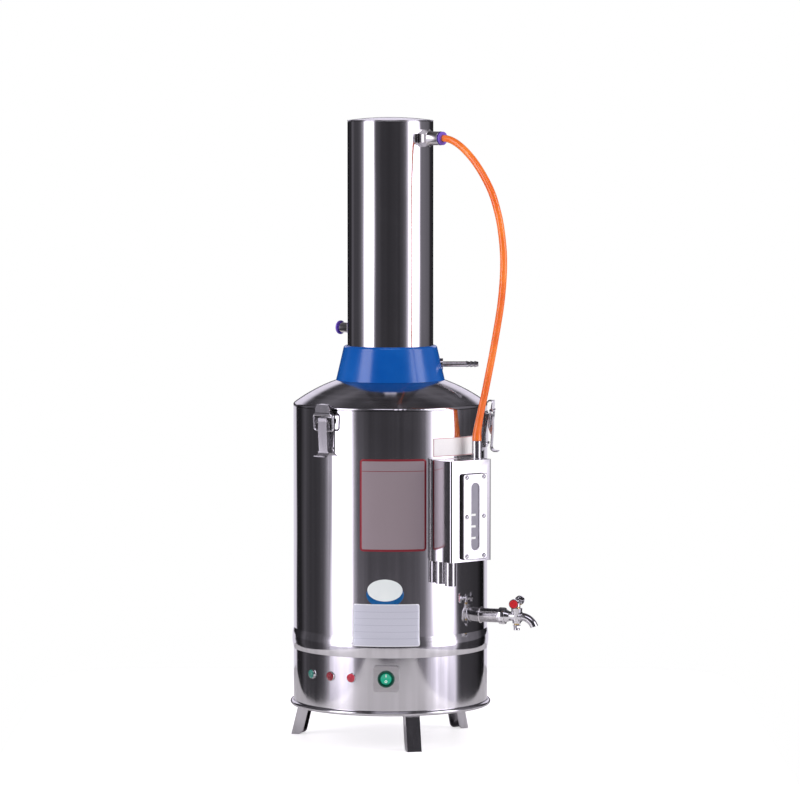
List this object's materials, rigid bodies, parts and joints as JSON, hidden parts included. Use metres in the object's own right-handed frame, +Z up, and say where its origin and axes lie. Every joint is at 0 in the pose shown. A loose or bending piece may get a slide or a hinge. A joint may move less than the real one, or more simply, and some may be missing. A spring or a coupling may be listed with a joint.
{
  "type": "electric water distiller",
  "caption": "Upright stainless steel water distiller: boiler pot on a legged base skirt, latched domed cover, condenser column with cooling hose, water level box and drain tap.",
  "frame": {"origin": "on the column's axis at bench level, between the three feet", "axes": "+Z up along the column, front with the switch toward -Y, +X to the right seen from the front"},
  "size_m": [0.356, 0.3215, 0.898],
  "materials": {
    "stainless_sheet": "bright polished stainless sheet",
    "stainless_inner": "plain stainless, unpolished",
    "leg_steel": "pressed stainless, satin",
    "bare_fasteners": "turned stainless",
    "black_plastic": "moulded, fine grain",
    "white_plastic": "moulded",
    "seal_rubber": "dull",
    "switch_green_body": "dark green, glossy",
    "switch_green_lit": "bright green, glossy",
    "lens_green": "clear green",
    "lens_red": "clear red",
    "tap_chrome": "plated",
    "plug_brass": "turned",
    "cap_red": "glossy",
    "window_glass": "clear",
    "collar_blue": "glossy moulded",
    "fitting_chrome": "plated brass",
    "ring_purple": "moulded",
    "hose_orange": "smooth tube",
    "heater_sheath": "oxidised"
  },
  "bodies": {
    "boiler": {"base_skirt": "stainless_sheet", "base_plate": "stainless_inner", "leg_front": "leg_steel", "leg_left": "leg_steel", "leg_right": "leg_steel", "leg_screws": "bare_fasteners", "cable_gland": "black_plastic", "contactor": "black_plastic", "terminal_block": "white_plastic", "switch_plate": "stainless_sheet", "switch_housing": "switch_green_body", "lamp_bezels": "tap_chrome", "lens_green": "lens_green", "lenses_red": "lens_red", "pot_shell": "stainless_sheet", "heating_elements": "heater_sheath", "heater_nuts": "plug_brass", "dry_boil_thermostat": "black_plastic", "drain_socket": "stainless_sheet", "tap_nut": "tap_chrome", "tap_body": "tap_chrome", "water_box": "stainless_sheet", "box_inlet_pipe": "stainless_sheet", "overflow_pipe": "stainless_sheet", "box_drain_pipe": "stainless_sheet", "window_gasket": "seal_rubber", "window_pane": "window_glass", "window_frame": "stainless_sheet", "window_screws": "bare_fasteners", "latch_bases": "stainless_sheet", "latch_rivets": "bare_fasteners"},
    "head": {"cover_dome": "stainless_sheet", "cover_gasket": "seal_rubber", "latch_keepers": "stainless_sheet", "collar": "collar_blue", "column_shell": "stainless_sheet", "column_cap": "stainless_sheet", "tube_plates": "stainless_inner", "condenser_tubes": "stainless_inner", "distillate_tray": "stainless_inner", "distillate_spigot": "stainless_sheet", "outlet_fitting": "fitting_chrome", "inlet_fitting": "fitting_chrome", "cooling_hose": "hose_orange"},
    "rocker": {"switch_rocker": "switch_green_lit"},
    "tap_key": {"tap_plug": "plug_brass", "tap_handle": "tap_chrome", "tap_caps": "cap_red", "tap_plug_nut": "tap_chrome"},
    "outlet_ring": {"outlet_release_ring": "ring_purple"},
    "inlet_ring": {"inlet_release_ring": "ring_purple"},
    "lever_left": {"latch_lever_left": "stainless_sheet"},
    "claw_left": {"latch_claw_left": "stainless_sheet"},
    "lever_right": {"latch_lever_right": "stainless_sheet"},
    "claw_right": {"latch_claw_right": "stainless_sheet"},
    "lever_back": {"latch_lever_back": "stainless_sheet"},
    "claw_back": {"latch_claw_back": "stainless_sheet"}
  },
  "joints": [
    {"name": "cover_lift", "type": "slide", "parent": "boiler", "child": "head", "axis": [0, 0, 1], "range_m": [0, 0.15]},
    {"name": "tap_turn", "type": "hinge", "parent": "boiler", "child": "tap_key", "pos_m": [0.1808, -0.07305, 0.185], "axis": [0, 0, 1], "range_deg": [0, 90]},
    {"name": "switch_press", "type": "hinge", "parent": "boiler", "child": "rocker", "pos_m": [-0.00608, -0.13937, 0.104], "axis": [0.999, -0.0436, 0], "range_deg": [0, 14]},
    {"name": "latch_left", "type": "hinge", "parent": "boiler", "child": "lever_left", "pos_m": [-0.09417, -0.11223, 0.468], "axis": [-0.766, 0.6428, 0], "range_deg": [-6, 70]},
    {"name": "claw_swing_left", "type": "hinge", "parent": "lever_left", "child": "claw_left", "pos_m": [-0.09417, -0.11223, 0.455], "axis": [-0.766, 0.6428, 0], "range_deg": [-140, 12]},
    {"name": "latch_right", "type": "hinge", "parent": "boiler", "child": "lever_right", "pos_m": [0.14427, -0.02544, 0.468], "axis": [-0.1736, -0.9848, 0], "range_deg": [-6, 70]},
    {"name": "claw_swing_right", "type": "hinge", "parent": "lever_right", "child": "claw_right", "pos_m": [0.14427, -0.02544, 0.455], "axis": [-0.1736, -0.9848, 0], "range_deg": [-140, 12]},
    {"name": "latch_back", "type": "hinge", "parent": "boiler", "child": "lever_back", "pos_m": [-0.05011, 0.13767, 0.468], "axis": [0.9397, 0.342, 0], "range_deg": [-6, 70]},
    {"name": "claw_swing_back", "type": "hinge", "parent": "lever_back", "child": "claw_back", "pos_m": [-0.05011, 0.13767, 0.455], "axis": [0.9397, 0.342, 0], "range_deg": [-140, 12]},
    {"name": "outlet_ring_press", "type": "slide", "parent": "head", "child": "outlet_ring", "axis": [-0.7603, 0.6496, 0], "range_m": [0, 0.0015], "stiffness_N_per_m": 400},
    {"name": "inlet_ring_press", "type": "slide", "parent": "head", "child": "inlet_ring", "axis": [0.7604, -0.6494, 0], "range_m": [0, 0.0015], "stiffness_N_per_m": 400}
  ],
  "couplings": [
    {"joint": "claw_swing_left", "follows": "latch_left", "ratio": -2},
    {"joint": "claw_swing_right", "follows": "latch_right", "ratio": -2},
    {"joint": "claw_swing_back", "follows": "latch_back", "ratio": -2}
  ]
}
